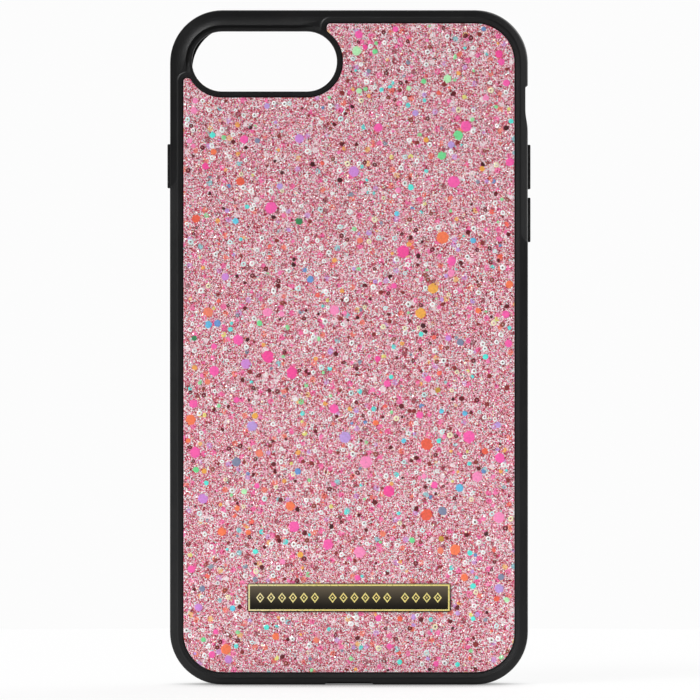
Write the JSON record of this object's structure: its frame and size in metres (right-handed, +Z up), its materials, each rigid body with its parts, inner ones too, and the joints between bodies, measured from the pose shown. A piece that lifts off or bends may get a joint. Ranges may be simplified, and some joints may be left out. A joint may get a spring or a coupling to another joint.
{
  "type": "phone case",
  "caption": "Slim protective phone case with a soft black bumper frame, a glittered back panel, a camera opening, press buttons and a small framed nameplate.",
  "frame": {"origin": "middle of the bottom edge, on the surface that the case stands on", "axes": "+Z up the case's length, +X across it to the right as the decorated back is seen, +Y towards the screen opening; the decorated back faces -Y"},
  "size_m": [0.0882, 0.0116, 0.1636],
  "materials": {
    "bumper_tpu": "matte black thermoplastic polyurethane, fine moulded grain",
    "plate_plastic": "smooth black polycarbonate",
    "film": "clear adhesive transfer film",
    "glitter": "pink chunky glitter bonded to coated synthetic leather",
    "lining": "charcoal microfibre",
    "sequin_pink": "satin polyester film",
    "sequin_coral": "satin polyester film",
    "sequin_lilac": "satin polyester film",
    "sequin_blue": "satin polyester film",
    "sequin_aqua": "satin polyester film",
    "sequin_green": "satin polyester film",
    "sequin_gold": "satin polyester film",
    "nameplate_gilt": "polished gilt",
    "nameplate_enamel": "gloss black enamel",
    "button_tpu": "satin black",
    "membrane_tpu": "thin black elastomer"
  },
  "bodies": {
    "case": {"bumper_frame": "bumper_tpu", "back_plate": "plate_plastic", "sheet_adhesive": "film", "glitter_sheet": "glitter", "inner_lining": "lining", "sequins_pink": "sequin_pink", "sequins_coral": "sequin_coral", "sequins_lilac": "sequin_lilac", "sequins_blue": "sequin_blue", "sequins_aqua": "sequin_aqua", "sequins_green": "sequin_green", "sequins_gold": "sequin_gold", "nameplate_adhesive": "film", "nameplate_blank": "nameplate_gilt", "nameplate_enamel": "nameplate_enamel", "power_membrane": "membrane_tpu", "volume_up_membrane": "membrane_tpu", "volume_down_membrane": "membrane_tpu"},
    "power_button": {"power_button": "button_tpu"},
    "volume_up_button": {"volume_up_button": "button_tpu"},
    "volume_down_button": {"volume_down_button": "button_tpu"}
  },
  "joints": [
    {"name": "power_button_press", "type": "slide", "parent": "case", "child": "power_button", "axis": [1, 0, 0], "range_m": [0, 0.0004], "stiffness_N_per_m": 3000, "deforming": ["power_membrane"]},
    {"name": "volume_up_button_press", "type": "slide", "parent": "case", "child": "volume_up_button", "axis": [-1, 0, 0], "range_m": [0, 0.0004], "stiffness_N_per_m": 3000, "deforming": ["volume_up_membrane"]},
    {"name": "volume_down_button_press", "type": "slide", "parent": "case", "child": "volume_down_button", "axis": [-1, 0, 0], "range_m": [0, 0.0004], "stiffness_N_per_m": 3000, "deforming": ["volume_down_membrane"]}
  ]
}
